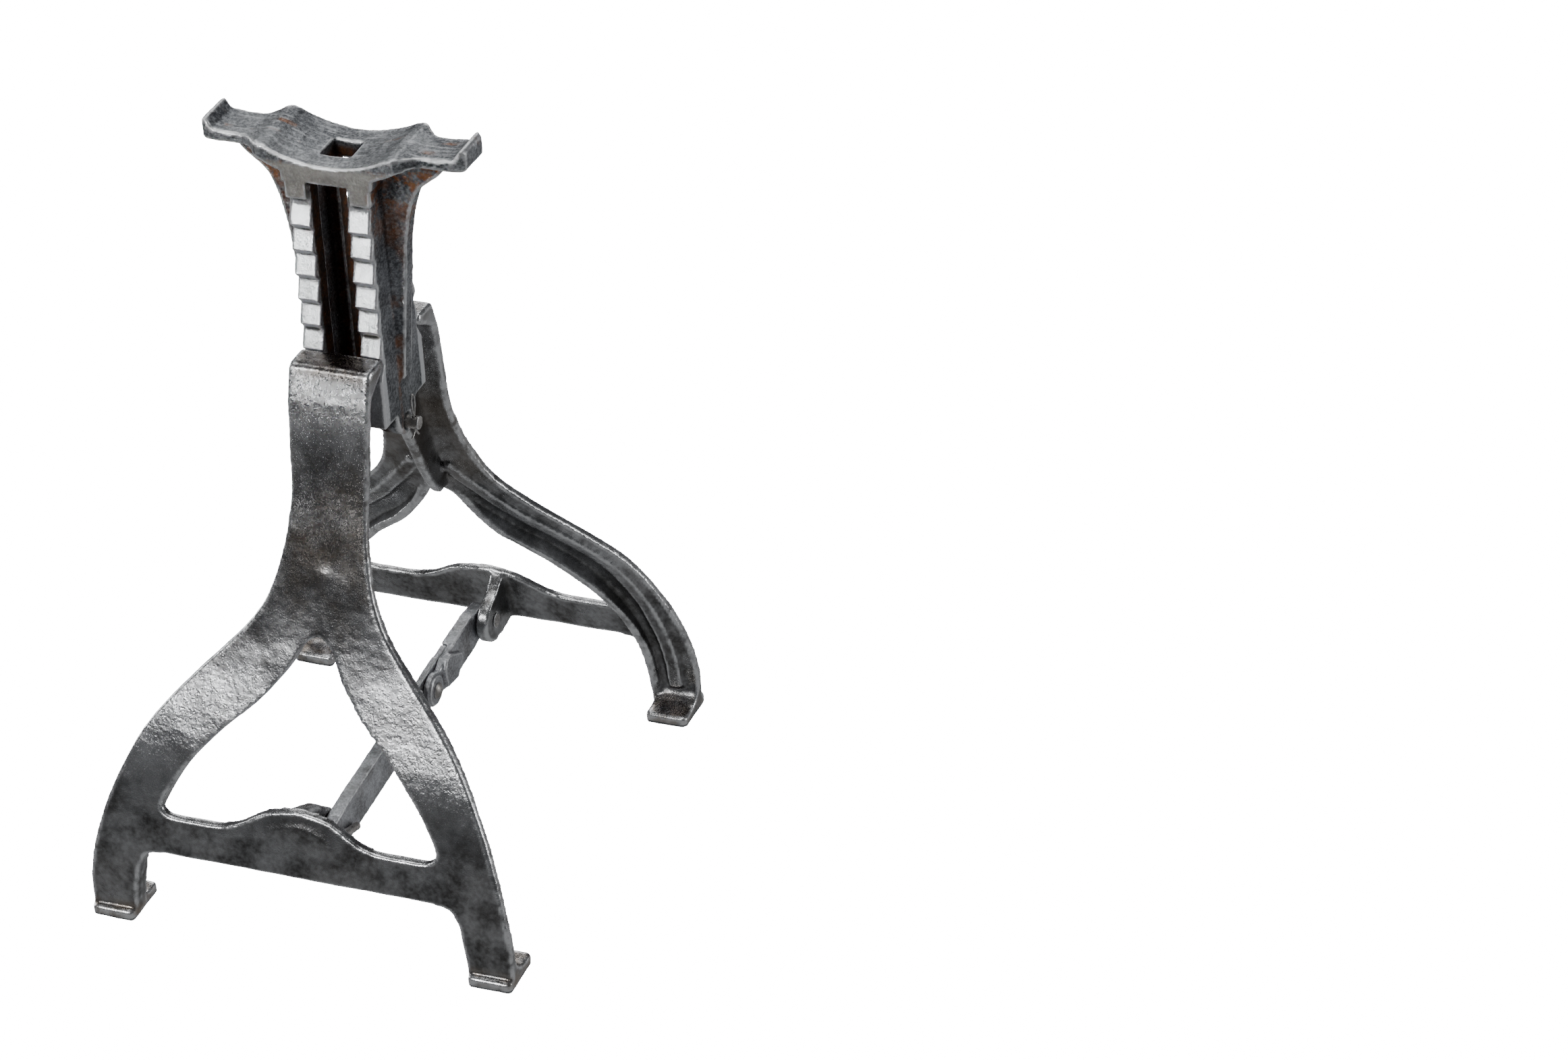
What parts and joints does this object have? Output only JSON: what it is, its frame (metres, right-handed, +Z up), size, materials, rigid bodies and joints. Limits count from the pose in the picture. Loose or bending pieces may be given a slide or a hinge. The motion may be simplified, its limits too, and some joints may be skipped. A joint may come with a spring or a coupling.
{
  "type": "folding axle stand",
  "caption": "Folding cast axle stand: toothed column with a cradle, hooked A-frame legs on a hidden pivot, and a folding knee stay.",
  "frame": {"origin": "on the floor under the middle of the column", "axes": "+X along the cradle, -Y towards the front leg, +Z up"},
  "size_m": [0.268, 0.3148, 0.4614],
  "materials": {
    "column_iron": "worn bare cast iron, smooth and blue-gray with light rust",
    "leg_iron": "burnished bare cast iron, rough, dark with bright worn edges",
    "stay_iron": "worn bare cast iron",
    "pin_steel": "dull worn steel"
  },
  "bodies": {
    "pivot": {"hinge_pin": "pin_steel"},
    "column": {"column": "column_iron", "stop_pin": "pin_steel", "stop_pin_cotter": "pin_steel"},
    "front_leg": {"front_leg": "leg_iron", "front_stay_pin": "pin_steel"},
    "back_leg": {"back_leg": "leg_iron", "back_stay_pin": "pin_steel"},
    "stay_long": {"stay_long_bar": "stay_iron", "knee_rivet": "pin_steel"},
    "stay_short": {"stay_short_bar": "stay_iron", "back_stay_pin_head": "pin_steel"}
  },
  "joints": [
    {"name": "front_leg_fold", "type": "hinge", "parent": "pivot", "child": "front_leg", "pos_m": [0, 0, 0.289], "axis": [1, 0, 0], "range_deg": [0, 6]},
    {"name": "back_leg_fold", "type": "hinge", "parent": "pivot", "child": "back_leg", "pos_m": [0, 0, 0.289], "axis": [1, 0, 0], "range_deg": [-6, 0]},
    {"name": "column_slide", "type": "slide", "parent": "pivot", "child": "column", "axis": [0, 0, 1], "range_m": [-0.09525, 0]},
    {"name": "stay_front_pivot", "type": "hinge", "parent": "front_leg", "child": "stay_long", "pos_m": [0, -0.097, 0.0455], "axis": [1, 0, 0], "range_deg": [0, 21.23]},
    {"name": "stay_knee", "type": "hinge", "parent": "stay_long", "child": "stay_short", "pos_m": [0, 0.044, 0.05562], "axis": [1, 0, 0], "range_deg": [-84.78, 0]}
  ],
  "couplings": [
    {"joint": "back_leg_fold", "follows": "front_leg_fold", "ratio": -1},
    {"joint": "stay_front_pivot", "follows": "front_leg_fold", "ratio": 3.5384},
    {"joint": "stay_knee", "follows": "front_leg_fold", "ratio": -14.129}
  ]
}
